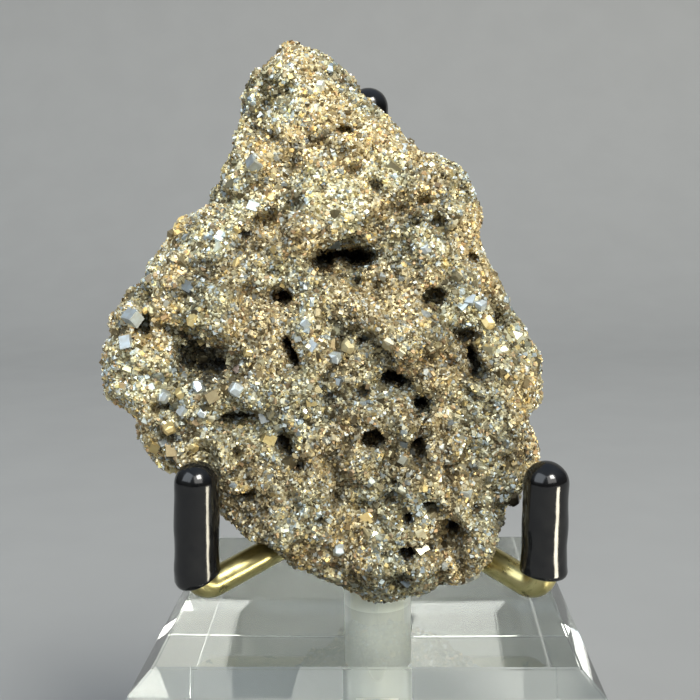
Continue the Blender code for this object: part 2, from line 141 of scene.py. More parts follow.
# rounded lumps of grains: cells per mm, height, depth of the cracks between them
KNOB = (0.12, 2.2, 1.3)
LUMP = (0.25, 1.3, 0.9)
BEAD = (0.62, 0.7, 0.4)
LUMP_LEVEL = 0.2               # squared distance at which a lump neither swells nor sinks
CRACK_EDGE = (0.16, 0.02)      # how much nearer one lump is than the next where cracks begin, are full
LUMP_WARP = 1.3                # mm that the lumps' edges wander
WARP_CELLS = 0.35              # for each mm
WARP_SEED = 11                 # without a seed, that wander would differ in each run
CRACK_CELLS = 0.16             # patches with and without cracks, for each mm
CRACK_OPEN = (-0.15, 0.2)      # values of that noise at which cracks begin and are fully open
CRACK_SHADE = 0.55             # painted shade: how much darker the grains down in a crack are coloured
HOLLOW_SHADE = 0.8             # painted shade: how much darker the grains inside a hollow are coloured
# share of the hollows' full painted shade that a valley gets at its middle
VALLEY_SHADE = 0.32
FULL_DARK_DEPTH = 4.0          # a hollow this deep or deeper has the whole painted shade
LOWER_SHADE = 0.39             # painted shade: how much darker the middle and foot of the cluster are coloured than its head
LOWER_HEIGHTS = (138.0, 96.0)  # where that shade begins and where it is full
LOWER_SIDES = (33.0, 21.0)     # the same sideways from the middle, so that the sides stay bright
PATCHES = 0.13                 # broad patches of colour for each mm
PATCH_EDGE = (-0.3, 0.35)      # values of that noise from wholly greyish to wholly brownish
GREYISH = (0.97, 1.01, 1.02)
BROWNISH = (1.0, 0.93, 0.82)
STAND_CLEARANCE = 0.35         # growth that comes nearer to a rod or cap is drawn in by what it lacks
STAND_ROOM = (0.2, 2.4)        # distances from the stand between which the lumps grow to full height
CAP_EXTRA = 0.15               # a cap counts as this much wider, for its wobble, in those distances
CAP_LIP_EXTRA = 0.5            # and as this much longer
HOLLOW_EDGE = (0.9, 0.66)      # where a hollow begins and is full, in shares of its ellipse
HOLLOW_FACING = (0.25, -0.25)  # the normal's y where a hollow's push begins and is full
SHADE_FACING = (0.35, -0.1)    # the same for its painted shade
HOLLOW_RAGGED = 0.45           # how uneven the edges of hollows are
VALLEY_RAGGED = 0.3
VALLEY_FALL = 1.2              # how fast a valley fades away from its middle
# hollows in the front, coloured dark with painted shade: x, z, half width, half height, turn in degrees,
# depth
HOLLOWS = [
    (-6.0, 116.9, 1.9, 1.6, 10, 6.5), (-0.4, 116.9, 2.6, 1.8, -8, 6.5), (-3.3, 117.3, 2.6, 0.9, -4, 5.5),
    (-1.2, 113.4, 1.0, 0.8, 0, 3.0), (-11.8, 111.3, 1.3, 1.0, 0, 3.4), (-13.1, 115.2, 1.3, 0.6, -10, 2.0),
    (-10.6, 103.4, 3.3, 1.1, -63, 5.5), (-24.4, 101.7, 4.8, 3.4, -28, 3.0),
    (-23.2, 101.1, 2.4, 1.8, 0, 4.2), (-28.0, 106.4, 3.8, 0.8, -34, 3.6),
    (-32.1, 107.2, 0.6, 2.2, 4, 1.5), (-14.3, 122.4, 1.1, 0.8, 0, 2.0),
    (-18.9, 93.9, 3.6, 0.6, 4, 3.2), (-29.8, 95.6, 1.3, 0.7, 0, 2.2),
    (-11.6, 89.4, 2.4, 0.7, -60, 3.0), (-9.7, 87.1, 1.1, 1.0, 0, 3.0), (5.2, 98.9, 2.2, 1.0, -20, 4.5),
    (-0.3, 97.6, 1.2, 1.0, 0, 2.8), (8.2, 95.5, 1.8, 1.8, 0, 5.0), (0.9, 91.0, 1.1, 0.5, 0, 2.4),
    (7.4, 89.3, 1.2, 1.8, 10, 3.6), (16.0, 101.6, 1.0, 3.0, 12, 4.0), (14.6, 105.4, 1.3, 1.2, 0, 2.4),
    (9.9, 111.7, 1.1, 0.8, 0, 1.6), (16.1, 116.5, 1.0, 1.3, 0, 1.6), (12.9, 77.2, 1.1, 1.8, 0, 4.0),
    (6.0, 79.5, 1.1, 1.0, 0, 2.6), (5.5, 74.2, 1.6, 0.9, 0, 3.0), (-1.5, 129.6, 0.9, 0.7, 0, 2.2),
    (2.1, 127.4, 1.1, 1.0, 0, 3.0), (-2.3, 135.6, 2.1, 0.6, -8, 2.0), (-11.0, 141.5, 0.6, 1.4, 20, 1.8),
    (-14.7, 140.6, 0.5, 2.8, 0, 1.4), (15.6, 80.6, 1.2, 0.8, 0, 2.2), (-17.7, 120.7, 0.8, 0.6, 0, 2.0),
    (-0.7, 105.3, 0.8, 0.8, 0, 2.2), (9.2, 81.5, 1.0, 0.7, 0, 2.2), (-6.0, 127.4, 0.9, 0.7, 0, 2.0),
    (-7.8, 133.8, 0.9, 0.8, 0, 2.0), (-18.8, 89.1, 0.9, 0.7, 0, 2.0), (-17.2, 82.9, 0.9, 0.6, 0, 2.0),
    (-6.5, 79.6, 0.9, 0.8, 0, 2.0), (4.5, 85.0, 0.9, 0.6, 0, 2.0), (2.7, 74.5, 0.9, 0.7, 0, 2.0),
    (-4.2, 72.0, 0.9, 0.6, 0, 2.0), (20.6, 87.7, 0.8, 0.8, 0, 2.0), (8.0, 122.5, 0.9, 0.8, 0, 2.0),
]
# broad soft valleys between the large lumps, in the same numbers, which also get painted shade; a depth
# below 0 fills a pit up and gets none
VALLEYS = [
    (-11.0, 89.8, 4.2, 1.2, -53, 1.6), (1.0, 103.8, 5.2, 1.3, -56, 1.7), (0.4, 114.0, 2.8, 1.2, -30, 1.5),
    (14.9, 103.8, 5.4, 1.2, -72, 1.5), (9.9, 81.0, 5.5, 1.2, -45, 1.6), (2.4, 78.0, 4.8, 1.0, -52, 1.3),
    (-14.7, 128.4, 3.5, 1.2, 40, 1.3), (7.6, 92.6, 4.6, 1.3, -82, 1.5), (9.9, 111.7, 1.9, 1.6, 0, -1.8),
    (-4.5, 97.0, 5.0, 1.2, 20, 1.2), (10.5, 122.0, 4.0, 1.0, -62, 1.1), (-17.5, 112.5, 5.0, 1.1, -25, 1.1),
]

# ---- crystals --------------------------------------------------------------------------
SEED = 20
STRETCH = (0.8, 1.15)          # how far a crystal is squeezed or drawn out along each axis
FINE_STRETCH = (0.55, 1.7)
GLOSS = 1.0                    # the most that chance takes off a crystal's roughness share
FINE_GLOSS = 0.4               # the finest grains are duller than the larger crystals
# the strewn crystals: how many are tried, sizes, share of each form, share of the size that is
# sunk in, share turned to mirror the cool fill
STREWN = {
    "medium": (1800, (0.9, 1.8), {"cube": 0.25, "pyritohedron": 0.6, "chamfered": 0.15}, 0.4, 0.35),
    "small": (15000, (0.45, 0.95), {"cube": 0.35, "chamfered": 0.4, "octahedron": 0.25}, 0.25, 0.15),
    "fine": (52000, (0.24, 0.48), {"cube": 0.5, "chamfered": 0.15, "octahedron": 0.35}, 0.1, 0.0),
}
SIZE_SKEW = 1.6                # above 1, small sizes are drawn more often than large ones
BRIGHTNESS = (0.6, 1.65)
LIT_TONE = (0.8, 0.84, 0.9)    # colour kept by a crystal that mirrors the fill
LIT_ROUGHNESS = (0.7, 0.3)     # its roughness share is multiplied by the first, then the second is added
TURN_JITTER = 0.2              # how loosely a crystal is turned to its light
CUBE_REACH = 0.87              # from a cube's middle to its corner, in sides
CRYSTAL_CLEARANCE = 0.1        # left between a strewn crystal's furthest corner and the stand
PIECE_TRIANGLES = 150000       # the most that one joined piece of grains holds
# colours of the crystal faces, and how often each is drawn among the strewn crystals
TINTS = {
    "bronze": ((0.37, 0.32, 0.20), 0.24),
    "straw": ((0.58, 0.54, 0.36), 0.15),
    "gold": ((0.74, 0.60, 0.29), 0.09),
    "cream": ((0.78, 0.76, 0.60), 0.13),
    "peach": ((0.55, 0.41, 0.25), 0.08),
    "brown": ((0.18, 0.145, 0.08), 0.12),
    "steel": ((0.56, 0.63, 0.66), 0.19),
}
PINK = (0.62, 0.50, 0.45)
NAMED_SINK = 0.28
NAMED_STRETCH = (1.0, 0.92, 1.05)
NAMED_TONE = 0.88
NAMED_ROUGHNESS = 0.2          # share of the roughness range
# radius kept free of later grains round a larger crystal, in its sizes
NAMED_ROOM = 0.62
MEDIUM_ROOM = 0.55
# parts of the front where larger crystals crowd: x, z, radius
FIELDS = [
    (-25.0, 98.0, 6.0), (-17.0, 98.5, 5.0), (-34.0, 106.0, 5.0), (-26.5, 91.0, 6.0),
    (-7.5, 107.5, 6.0), (-15.6, 129.6, 5.0), (19.0, 106.0, 7.0), (12.0, 87.5, 8.0),
    (5.0, 76.5, 7.0), (12.8, 115.0, 4.0), (-24.3, 119.2, 6.0), (-4.7, 94.4, 5.0),
    (-14.5, 139.0, 3.5), (-31.0, 113.0, 4.5), (-35.0, 99.0, 5.0), (-29.0, 88.0, 4.5),
    (22.0, 98.0, 5.0), (19.0, 115.0, 4.0), (-17.0, 84.0, 4.0),
]
FIELD_EDGE = (1.3, 0.7)        # where crowding begins and is full, in radii
OUTSIDE_FIELDS = 0.22          # share of the larger crystals kept elsewhere on the front
BACK_FROM = 6.0                # y behind which the back's share counts
BACK_SHARE = 0.6
FRONT_MIDDLE = (-5.0, -15.0, 105.0)      # crystals are turned to the lights as if they were here
BEFORE_FRONT = -60.0           # y from which the larger crystals are aimed at the front
# the larger crystals of the front: x, z, size, form, colour
NAMED_CRYSTALS = [
    (-33.4, 109.3, 2.0, "cube", "steel"), (-34.4, 105.4, 1.8, "cube", "steel"),
    (-18.9, 100.6, 2.1, "pyritohedron", "pink"), (-24.9, 104.4, 1.3, "cube", "gold"),
    (-16.9, 103.5, 1.5, "pyritohedron", "gold"), (-26.9, 97.6, 1.9, "pyritohedron", "gold"),
    (-21.9, 97.4, 1.7, "cube", "bronze"), (-24.1, 98.5, 2.0, "pyritohedron", "steel"),
    (-19.0, 98.6, 1.9, "pyritohedron", "steel"), (-29.3, 97.6, 1.8, "pyritohedron", "steel"),
    (-30.1, 100.3, 1.5, "cube", "steel"), (-27.0, 99.9, 1.3, "pyritohedron", "steel"),
    (-26.4, 95.4, 1.3, "cube", "steel"), (-23.6, 95.0, 1.4, "pyritohedron", "steel"),
    (-14.9, 94.2, 1.4, "cube", "steel"), (-22.4, 94.2, 1.2, "cube", "cream"),
    (-16.0, 130.8, 1.7, "cube", "steel"), (-8.4, 108.0, 1.5, "pyritohedron", "steel"),
    (-7.3, 104.7, 1.4, "cube", "steel"), (-4.2, 102.9, 1.7, "pyritohedron", "steel"),
    (9.0, 118.1, 1.5, "pyritohedron", "steel"), (8.9, 109.0, 1.5, "pyritohedron", "steel"),
    (17.0, 110.0, 1.6, "pyritohedron", "steel"), (18.5, 107.5, 2.0, "pyritohedron", "gold"),
    (20.3, 103.6, 1.4, "pyritohedron", "cream"), (15.4, 110.8, 1.4, "cube", "steel"),
    (-28.4, 92.7, 1.6, "pyritohedron", "gold"), (-24.9, 90.1, 1.6, "pyritohedron", "gold"),
    (-28.4, 89.0, 1.9, "cube", "brown"), (-4.0, 75.0, 1.6, "pyritohedron", "steel"),
]


# ---- shared tools ----------------------------------------------------------------------
def smooth_step(low, high, value):
    share = np.clip((value - low) / (high - low), 0.0, 1.0)
    return share * share * (3.0 - 2.0 * share)


def link_object(name, mesh, *surfaces):
    for surface in surfaces:
        mesh.materials.append(surface)
    thing = bpy.data.objects.new(name, mesh)
    bpy.context.scene.collection.objects.link(thing)
    return thing


def finish_bmesh(name, bm, *surfaces):
    """Make an object in metres from a mesh that was built in millimetres."""
    bmesh.ops.recalc_face_normals(bm, faces=bm.faces[:])
    bmesh.ops.scale(bm, vec=(MM, MM, MM), verts=bm.verts[:])
    mesh = bpy.data.meshes.new(name)
    bm.to_mesh(mesh)
    bm.free()
    return link_object(name, mesh, *surfaces)


def apply_modifiers(thing):
    graph = bpy.context.evaluated_depsgraph_get()
    mesh = bpy.data.meshes.new_from_object(thing.evaluated_get(graph))
    thing.modifiers.clear()
    thing.data = mesh
    return thing


def remesh(thing, voxel):
    change = thing.modifiers.new("remesh", 'REMESH')
    change.mode = 'VOXEL'
    change.voxel_size = voxel * MM
    return apply_modifiers(thing)


def read_vectors(mesh, field):
    values = np.empty(len(mesh.vertices) * 3)
    mesh.vertices.foreach_get(field, values)
    return values.reshape(-1, 3)


def read_points(mesh):
    return read_vectors(mesh, "co") / MM


def read_normals(mesh):
    return read_vectors(mesh, "normal")


def write_points(mesh, points):
    mesh.vertices.foreach_set("co", (points * MM).ravel())
    mesh.update()


def paint_points(mesh, colours):
    layer = mesh.color_attributes.new("tint", 'FLOAT_COLOR', 'POINT')
    layer.data.foreach_set("color", colours.ravel())


def fill_ramp(ramp, stops):
    while len(ramp.elements) < len(stops):
        ramp.elements.new(0.5)
    for element, (position, colour) in zip(ramp.elements, stops):
        element.position = position
        element.color = (*colour, 1.0)


# ---- materials -------------------------------------------------------------------------
class Surface:
    """A material with a Principled BSDF and short calls to add and link its nodes."""

    def __init__(self, name, **values):
        self.material = bpy.data.materials.new(name)
        self.material.use_nodes = True
        self.tree = self.material.node_tree
        self.shader = self.tree.nodes["Principled BSDF"]
        for socket, value in values.items():
            self.shader.inputs[socket.replace("_", " ")].default_value = value

    def node(self, kind, inputs=(), **settings):
        made = self.tree.nodes.new(kind)
        for key, value in settings.items():
            setattr(made, key, value)
        for socket, value in dict(inputs).items():
            if isinstance(value, bpy.types.NodeSocket):
                self.tree.links.new(value, made.inputs[socket])
            else:
                made.inputs[socket].default_value = value
        return made

    def feed(self, socket, source):
        self.tree.links.new(source, self.shader.inputs[socket])

    def place(self):
        return self.node('ShaderNodeTexCoord').outputs["Object"]

    def noise(self, place, scale, detail=3.0, roughness=0.55):
        inputs = {"Vector": place, "Scale": scale, "Detail": detail, "Roughness": roughness}
        return self.node('ShaderNodeTexNoise', inputs)

    def ramp(self, value, stops):
        made = self.node('ShaderNodeValToRGB', {"Fac": value})
        fill_ramp(made.color_ramp, stops)
        return made.outputs["Color"]

    def spread(self, value, low, high):
        made = self.node('ShaderNodeMapRange', {"Value": value, "To Min": low, "To Max": high})
        return made.outputs["Result"]

    def mix(self, share, first, second, blend='MIX'):
        """Blend two colours, by the numbers of a Mix node's colour sockets."""
        made = self.node('ShaderNodeMix', data_type='RGBA', blend_type=blend)
        for socket, value in ((0, share), (6, first), (7, second)):
            if isinstance(value, bpy.types.NodeSocket):
                self.tree.links.new(value, made.inputs[socket])
            else:
                made.inputs[socket].default_value = value
        return made.outputs[2]

    def bump(self, height, strength, distance):
        made = self.node('ShaderNodeBump', {"Height": height, "Strength": strength, "Distance": distance})
        self.feed("Normal", made.outputs["Normal"])

    def glitter(self, place, scale, tilt):
        """Turn the normal a random way in each small cell, as tiny flat faces do."""
        cells = self.node('ShaderNodeTexVoronoi', {"Vector": place, "Scale": scale})
        centred = self.node('ShaderNodeVectorMath', {0: cells.outputs["Color"], 1: (0.5, 0.5, 0.5)},
                            operation='SUBTRACT')
        scaled = self.node('ShaderNodeVectorMath', {0: centred.outputs[0], "Scale": tilt},
                           operation='SCALE')
        normal = self.node('ShaderNodeNewGeometry').outputs["Normal"]
        added = self.node('ShaderNodeVectorMath', {0: normal, 1: scaled.outputs[0]}, operation='ADD')
        unit = self.node('ShaderNodeVectorMath', {0: added.outputs[0]}, operation='NORMALIZE')
        self.feed("Normal", unit.outputs[0])
        return cells.outputs["Color"]


def growth_surface():
    look = Surface("pyrite_growth", Metallic=0.72)
    place = look.place()
    cells = look.glitter(place, 2900.0, 1.0)
    pick = look.node('ShaderNodeSeparateColor', {"Color": cells}).outputs["Red"]
    grain = look.ramp(pick, [(0.0, (0.15, 0.115, 0.055)), (0.3, (0.44, 0.37, 0.21)),
                             (0.5, (0.52, 0.54, 0.50)), (0.75, (0.66, 0.60, 0.37)),
                             (1.0, (0.92, 0.89, 0.66))])
    patches = look.noise(place, 190.0).outputs["Fac"]
    patch = look.ramp(patches, [(0.3, (0.66, 0.60, 0.52)), (0.5, (0.96, 0.94, 0.90)),
                                (0.72, (1.0, 0.92, 0.78))])
    # the tint attribute holds the patch colours with painted shade multiplied in
    shade = look.node('ShaderNodeAttribute', attribute_name="tint").outputs["Color"]
    toned = look.mix(1.0, grain, patch, 'MULTIPLY')
    look.feed("Base Color", look.mix(1.0, toned, shade, 'MULTIPLY'))
    look.feed("Roughness", look.spread(pick, 0.64, 0.46))
    return look.material


def crystal_surface():
    look = Surface("pyrite_crystal_faces", Metallic=0.75)
    place = look.place()
    # the tint attribute holds each crystal's colour, with painted shade multiplied in for the strewn ones
    tint = look.node('ShaderNodeAttribute', attribute_name="tint")
    cloud = look.noise(place, 900.0, 2.0).outputs["Fac"]
    film = look.ramp(cloud, [(0.3, (0.78, 0.70, 0.62)), (0.6, (1.0, 1.0, 1.0))])
    look.feed("Base Color", look.mix(0.8, tint.outputs["Color"], film, 'MULTIPLY'))
    look.feed("Roughness", look.spread(tint.outputs["Alpha"], 0.3, 0.65))
    fine = look.noise(place, 4200.0, 2.0).outputs["Fac"]
    look.bump(fine, 0.25, 0.00005)
    return look.material


def brass_surface():
    look = Surface("tarnished_brass", Metallic=1.0)
    place = look.place()
    uv = look.node('ShaderNodeUVMap', uv_map="sweep").outputs["UV"]
    drawn = look.node('ShaderNodeMapping', {"Vector": uv, "Scale": (26.0, 0.55, 1.0)}).outputs[0]
    streaks = look.noise(drawn, 1.0, 4.0).outputs["Fac"]
    mottle = look.noise(place, 420.0, 4.0, 0.65).outputs["Fac"]
    both = look.node('ShaderNodeMath', {0: streaks, 1: mottle}, operation='ADD').outputs[0]
    half = look.spread(both, 0.0, 0.5)
    look.feed("Base Color", look.ramp(half, [
        (0.34, (0.33, 0.28, 0.12)), (0.46, (0.54, 0.47, 0.21)), (0.56, (0.70, 0.62, 0.30)),
        (0.66, (0.82, 0.75, 0.42))]))
    look.feed("Roughness", look.spread(mottle, 0.2, 0.40))
    look.bump(streaks, 0.3, 0.00004)
    return look.material


def vinyl_surface():
    look = Surface("dipped_vinyl", IOR=1.5)
    place = look.place()
    haze = look.noise(place, 500.0, 3.0).outputs["Fac"]
    look.feed("Base Color", look.ramp(haze, [(0.35, (0.0015, 0.0015, 0.002)),
                                             (0.7, (0.005, 0.005, 0.005))]))
    look.feed("Roughness", look.spread(haze, 0.08, 0.2))
    look.bump(look.noise(place, 260.0, 2.0).outputs["Fac"], 0.25, 0.0003)
    return look.material


def acrylic_surface(name):
    roughness, clearness = ACRYLIC[name]
    look = Surface(name, IOR=1.49, Roughness=roughness, Transmission_Weight=clearness)
    place = look.place()
    wear = look.noise(place, 160.0, 4.0).outputs["Fac"]
    look.feed("Base Color", look.ramp(wear, [(0.3, (0.94, 0.975, 0.92)), (0.7, (0.955, 0.99, 0.94))]))
    look.bump(look.noise(place, 40.0, 1.0).outputs["Fac"], 0.05, 0.0002)
    return look.material


def plain_surface(name, colour):
    look = Surface(name, Roughness=0.75)
    speckle = look.noise(look.place(), 25.0, 2.0).outputs["Fac"]
    darker = tuple(part * 0.97 for part in colour)
    look.feed("Base Color", look.ramp(speckle, [(0.35, darker), (0.65, colour)]))
    return look.material


# ---- the block -------------------------------------------------------------------------
def make_drill():
    """The form that cuts the hole, with a ring of points where the chalky band ends."""
    turns = [2 * math.pi * i / HOLE_SIDES for i in range(HOLE_SIDES)]
    bm = bmesh.new()
    rings = []
    for z in (BLOCK_SIDE + DRILL_ABOVE, BLOCK_SIDE - HOLE_CHALKY, BLOCK_SIDE - HOLE_DEPTH):
        rings.append([bm.verts.new((HUB[0] + HOLE_RADIUS * math.cos(t),
                                    HUB[1] + HOLE_RADIUS * math.sin(t), z)) for t in turns])
    tip = bm.verts.new((*HUB, BLOCK_SIDE - HOLE_DEPTH - HOLE_POINT))
    bm.faces.new(rings[0])
    for i in range(HOLE_SIDES):
        j = (i + 1) % HOLE_SIDES
        for upper, lower in zip(rings, rings[1:]):
            bm.faces.new((upper[i], upper[j], lower[j], lower[i]))
        bm.faces.new((rings[-1][i], rings[-1][j], tip))
    return finish_bmesh("drill", bm)


def make_block(clear, drilled, chalky):
    """The bevelled block with its drilled hole, whose wall is dull and whose top band is chalky."""
    half = BLOCK_SIDE / 2
    bm = bmesh.new()
    bmesh.ops.create_cube(bm, size=BLOCK_SIDE)
    bmesh.ops.translate(bm, vec=(0, 0, half), verts=bm.verts[:])
    top_edges = [e for e in bm.edges if all(v.co.z > half for v in e.verts)]
    bmesh.ops.bevel(bm, geom=top_edges, offset=BLOCK_TOP_BEVEL, segments=1, affect='EDGES')
    bmesh.ops.bevel(bm, geom=bm.edges[:], offset=BLOCK_EDGE_BREAK, segments=2, affect='EDGES')
    block = finish_bmesh("acrylic_block", bm, clear, drilled, chalky)
    drill = make_drill()
    cut = block.modifiers.new("cut", 'BOOLEAN')
    cut.operation = 'DIFFERENCE'
    cut.object = drill
    cut.solver = 'EXACT'
    apply_modifiers(block)
    bpy.data.objects.remove(drill, do_unlink=True)
    for face in block.data.polygons:
        x, y = face.center.x / MM - HUB[0], face.center.y / MM - HUB[1]
        z = face.center.z / MM
        in_hole = math.hypot(x, y) < HOLE_RADIUS + HOLE_MARGIN and 1.0 < z < BLOCK_SIDE - 0.1
        if in_hole:
            face.material_index = 2 if z > BLOCK_SIDE - HOLE_CHALKY else 1
        face.use_smooth = in_hole
    return block


# ---- rods and caps ---------------------------------------------------------------------
def arm_corners(name):
    """The rod's lower end, the two corners that its bends round off, and the top of its cap."""
    place, foot, tip, _cap = ARMS[name]
    angle = math.radians(place)
    x = HUB[0] + BUNDLE_RADIUS * math.cos(angle)
    y = HUB[1] + BUNDLE_RADIUS * math.sin(angle)
    floor = BLOCK_SIDE - HOLE_DEPTH + GAP
    return [Vector(c) for c in ((x, y, floor), (x, y, HUB_HEIGHT), foot, tip)]


class ArmPath:
    """The middle line of a rod, with its two bends rounded, read by distance from the cap's top."""

    def __init__(self, name):
        corners = arm_corners(name)
        points = [corners[0]]
        for i, radius in ((1, HUB_BEND), (2, FOOT_BEND)):
            before = (corners[i] - corners[i - 1]).normalized()
            after = (corners[i + 1] - corners[i]).normalized()
            turn = before.angle(after)
            inward = (after - before * before.dot(after)).normalized()
            start = corners[i] - before * radius * math.tan(turn / 2)
            for step in range(PATH_STEPS + 1):
                angle = turn * step / PATH_STEPS
                across = inward * (1 - math.cos(angle))
                points.append(start + (before * math.sin(angle) + across) * radius)
        points.append(corners[3])
        points.reverse()
        self.points = np.array([tuple(p) for p in points])
        steps = np.linalg.norm(np.diff(self.points, axis=0), axis=1)
        self.marks = np.concatenate([[0.0], np.cumsum(steps)])
        self.length = float(self.marks[-1])
        self.side = Vector((corners[1].y - corners[2].y, corners[2].x - corners[1].x, 0.0)).normalized()

    def at(self, depth):
        return Vector([np.interp(depth, self.marks, self.points[:, axis]) for axis in range(3)])

    def ring(self, depth, radius, count):
        near = max(depth - HEADING_STEP, 0.0)
        heading = (self.at(near) - self.at(near + 2 * HEADING_STEP)).normalized()
        across = (self.side - heading * self.side.dot(heading)).normalized()
        up = heading.cross(across)
        middle = self.at(depth)
        turns = [2 * math.pi * i / count for i in range(count)]
        return [middle + (across * math.cos(t) + up * math.sin(t)) * radius for t in turns]


def sweep(name, path, profile, count, surface, wobble):
    """A closed tube from (depth, radius) pairs, with a UV of turn and depth in millimetres."""
    bm = bmesh.new()
    layer = bm.loops.layers.uv.new("sweep")
    rings = []
    for depth, radius in profile:
        middle = path.at(depth)
        ring = []
        for point in path.ring(depth, radius, count):
            push = 1 + wobble * noise.noise(point * WOBBLE_CELLS) / max(radius, 0.5)
            ring.append(bm.verts.new(middle + (point - middle) * push))
        rings.append(ring)
    for k in range(len(rings) - 1):
        for i in range(count):
            j = (i + 1) % count
            face = bm.faces.new((rings[k][i], rings[k][j], rings[k + 1][j], rings[k + 1][i]))
            corners = ((i, k), (i + 1, k), (i + 1, k + 1), (i, k + 1))
            for loop, (turn, row) in zip(face.loops, corners):
                loop[layer].uv = (turn / count, profile[row][0])
    bm.faces.new(rings[0])
    bm.faces.new(rings[-1])
    thing = finish_bmesh(name, bm, surface)
    thing.data.shade_smooth()
    thing.data.set_sharp_from_angle(angle=math.radians(SHARP_ANGLE))
    return thing


def make_rod(name, surface):
    path = ArmPath(name)
    depths = np.arange(CAP_CROWN + GAP, path.length, ROD_STEP).tolist() + [path.length]
    profile = [(depth, ROD_RADIUS) for depth in depths]
    return sweep(f"{name}_rod", path, profile, ROD_SIDES, surface, ROD_WOBBLE)


def make_cap(name, surface):
    """A domed sleeve with a slightly rippled wall, a rolled rim and the start of its bore."""
    path = ArmPath(name)
    length = ARMS[name][3]
    profile = []
    for i in range(CAP_DOME_STEPS + 1):
        angle = 0.5 * math.pi * (i + CAP_DOME_FLAT) / (CAP_DOME_STEPS + CAP_DOME_FLAT)
        profile.append((CAP_RADIUS * (1 - math.cos(angle)), CAP_RADIUS * math.sin(angle)))
    first, last = CAP_WALL_ENDS
    for depth in np.linspace(CAP_RADIUS + first, length - last, CAP_WALL_RINGS):
        profile.append((float(depth), CAP_RADIUS + CAP_RIPPLE * math.sin(depth * CAP_RIPPLE_TURN)))
    for step in range(CAP_LIP_STEPS + 1):
        angle = math.pi * step / CAP_LIP_STEPS
        profile.append((length - CAP_LIP + CAP_LIP * math.sin(angle),
                        CAP_RADIUS - CAP_LIP_INSET + CAP_LIP * math.cos(angle)))
    profile.append((length - CAP_BORE_SHOWN, CAP_BORE))
    return sweep(f"{name}_sleeve", path, profile, CAP_SIDES, surface, CAP_WOBBLE)


# ---- the cluster -----------------------------------------------------------------------
def distance_to_stand(points):
    """Distance from each point to the skin of the nearest rod or cap."""
    nearest = np.full(len(points), np.inf)
    for name, (_place, _foot, _tip, cap) in ARMS.items():
        path = ArmPath(name)
        for i in range(len(path.points) - 1):
            a, b = path.points[i], path.points[i + 1]
            step = b - a
            share = np.clip(((points - a) @ step) / max(step @ step, 1e-9), 0.0, 1.0)
            gap = np.linalg.norm(points - a - share[:, None] * step, axis=1)
            depth = path.marks[i] + share * np.linalg.norm(step)
            radius = np.where(depth < cap + CAP_LIP_EXTRA, CAP_RADIUS + CAP_EXTRA, ROD_RADIUS)
            nearest = np.minimum(nearest, gap - radius)
    return nearest


def ellipse_radius(points, x, z, half_x, half_z, turn):
    """Distance from the middle of a turned ellipse on the front, which is 1 on its edge."""
    angle = math.radians(turn)
    dx = points[:, 0] - x
    dz = points[:, 2] - z
    u = (dx * math.cos(angle) + dz * math.sin(angle)) / half_x
    v = (dz * math.cos(angle) - dx * math.sin(angle)) / half_z
    return np.hypot(u, v)


def hollow_depth_and_painted_shade(points):
    """How far the front hollows push each point in, and how much painted shade they put on it, from 0 to
    1.
    """
    ragged = np.array([noise.fractal(Vector(p) * 1.1, 0.7, 2.0, 3) for p in points])
    push = np.zeros(len(points))
    dark = np.zeros(len(points))
    for *ellipse, depth in HOLLOWS:
        inside = smooth_step(*HOLLOW_EDGE, ellipse_radius(points, *ellipse) + HOLLOW_RAGGED * ragged)
        push = np.maximum(push, depth * inside)
        dark = np.maximum(dark, inside * min(depth / FULL_DARK_DEPTH, 1.0))
    for *ellipse, depth in VALLEYS:
        away = ellipse_radius(points, *ellipse) + VALLEY_RAGGED * ragged
        inside = np.exp(-VALLEY_FALL * away ** 2)
        push += depth * inside
        if depth > 0:
            dark = np.maximum(dark, VALLEY_SHADE * inside)
    return push, dark


def sink_hollows(mesh):
    """Push the dark hollows and valleys into the front of the growth, with uneven edges."""
    points = read_points(mesh)
    facing = smooth_step(*HOLLOW_FACING, read_normals(mesh)[:, 1])
    points[:, 1] += hollow_depth_and_painted_shade(points)[0] * facing
    write_points(mesh, points)


def lump_cells(points, scale):
    """Squared distance to the nearest lump's middle, and how near the edge between two is."""
    rows = []
    for point in points:
        spot = Vector(point)
        spot += LUMP_WARP * noise.noise_vector(spot * WARP_CELLS)
        first, second = noise.voronoi(spot * scale)[0][:2]
        rows.append((first * first, second - first))
    squares, gaps = np.array(rows).T
    return squares, smooth_step(*CRACK_EDGE, gaps)


def crack_places(points):
    """Cracks open only in parts of the surface, from 0 to 1."""
    return smooth_step(*CRACK_OPEN, np.array([noise.noise(Vector(p) * CRACK_CELLS) for p in points]))


def grow_lumps(mesh):
    """Swell rounded lumps of grains out of the surface and open cracks between them."""
    noise.seed_set(WARP_SEED)
    points = read_points(mesh)
    normals = read_normals(mesh)
    room = smooth_step(*STAND_ROOM, distance_to_stand(points))
    open_here = crack_places(points)
    lift = np.zeros(len(points))
    for scale, height, crack in (KNOB, LUMP, BEAD):
        squares, edges = lump_cells(points, scale)
        lift += height * (LUMP_LEVEL - squares) - crack * edges * open_here
    lift *= room * (0.5 + 0.5 * np.abs(normals[:, 1]))
    write_points(mesh, points + normals * lift[:, None])


def painted_shade_of(points, normals):
    """Painted shade: the share of its colour that each point keeps, less low down, in the cracks and in
    the hollows.
    """
    crack = np.maximum(lump_cells(points, LUMP[0])[1], lump_cells(points, KNOB[0])[1])
    facing = smooth_step(*SHADE_FACING, normals[:, 1])
    within = hollow_depth_and_painted_shade(points)[1] * facing
    inner = smooth_step(*LOWER_SIDES, np.abs(points[:, 0]))
    lower = 1 - LOWER_SHADE * smooth_step(*LOWER_HEIGHTS, points[:, 2]) * inner
    return lower * (1 - CRACK_SHADE * crack * crack_places(points)) * (1 - HOLLOW_SHADE * within)


